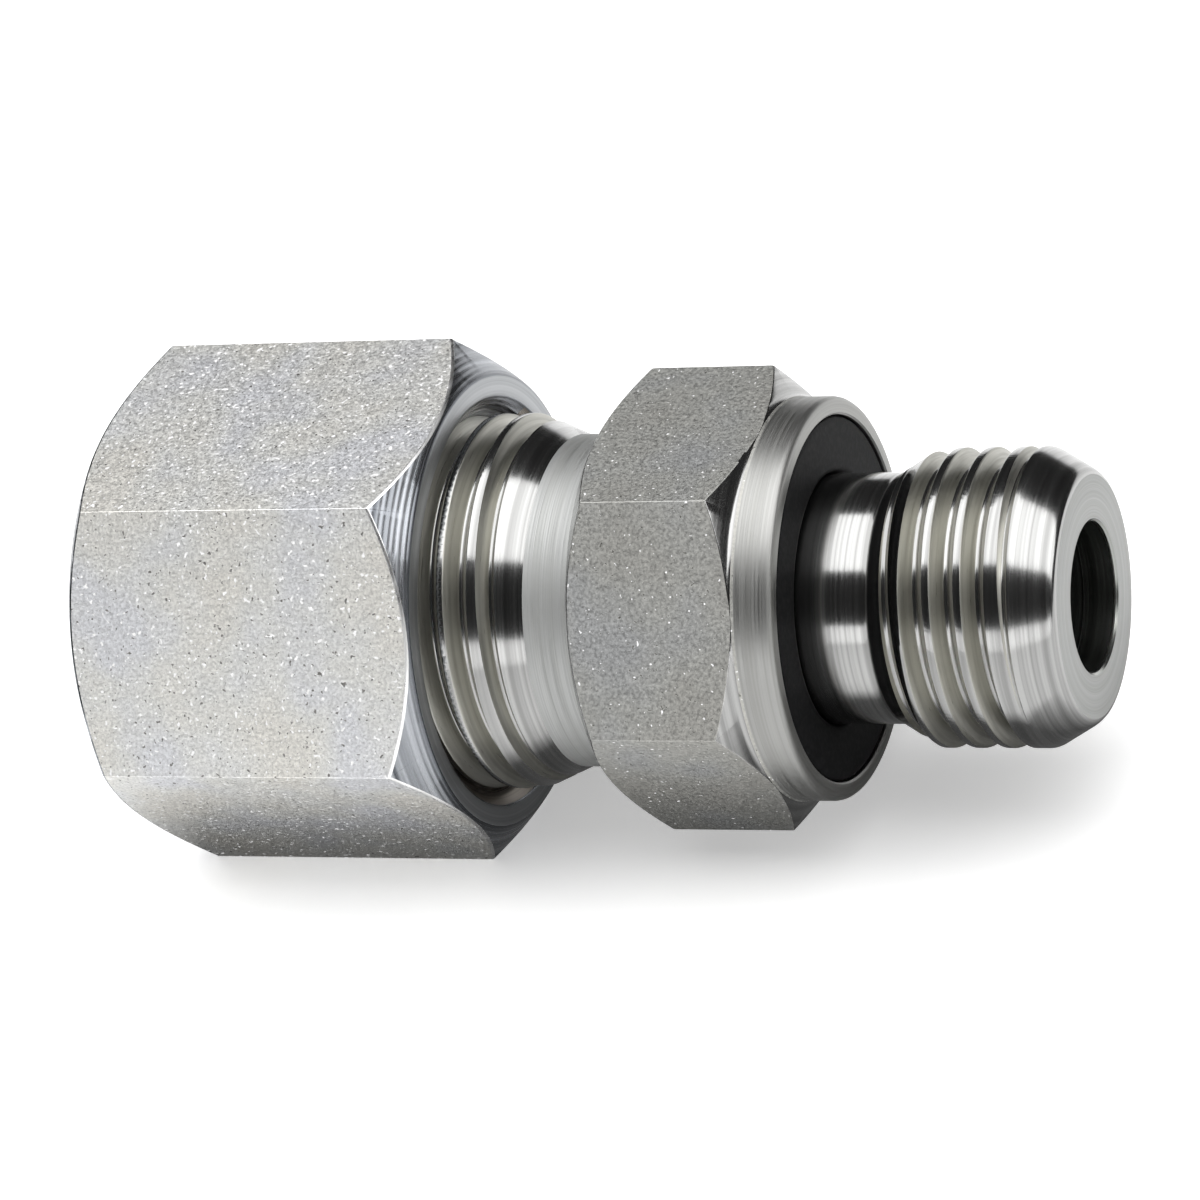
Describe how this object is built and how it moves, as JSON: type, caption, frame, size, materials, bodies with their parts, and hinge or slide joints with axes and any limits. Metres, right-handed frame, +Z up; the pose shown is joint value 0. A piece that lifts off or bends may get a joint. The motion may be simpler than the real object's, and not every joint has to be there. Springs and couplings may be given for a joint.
{
  "type": "hydraulic adapter fitting",
  "caption": "Straight steel stud coupling for a hydraulic tube: hexagon body with bore, threaded stud with captive seal ring, union nut and cutting ring.",
  "frame": {"origin": "on the axis of the flow bore, in the plane of the shoulder that seals on the port face", "axes": "+X along the axis towards the stud end, +Z up with the union nut lying on one flat, +Y level"},
  "size_m": [0.0473, 0.0254, 0.022],
  "materials": {
    "body_steel": "turned steel with a grey zinc plating, satin on the hexagon, bright on the turned faces",
    "nut_steel": "steel with a pale matte zinc plating that sparkles finely",
    "ring_steel": "hardened turned steel, satin",
    "seal_rubber": "black moulded rubber, satin"
  },
  "bodies": {
    "adapter": {"adapter_body": "body_steel", "stud_seal": "seal_rubber"},
    "ring": {"cutting_ring": "ring_steel"},
    "nut": {"union_nut": "nut_steel"}
  },
  "joints": [
    {"name": "nut_travel", "type": "slide", "parent": "adapter", "child": "ring", "axis": [1, 0, 0], "range_m": [-0.0045, 0.0015]},
    {"name": "nut_turn", "type": "hinge", "parent": "ring", "child": "nut", "pos_m": [-0.0262, 0, 0], "axis": [1, 0, 0], "range_deg": [-1080, 360]}
  ],
  "couplings": [
    {"joint": "nut_travel", "follows": "nut_turn", "m_per_rad": 0.0002387}
  ]
}
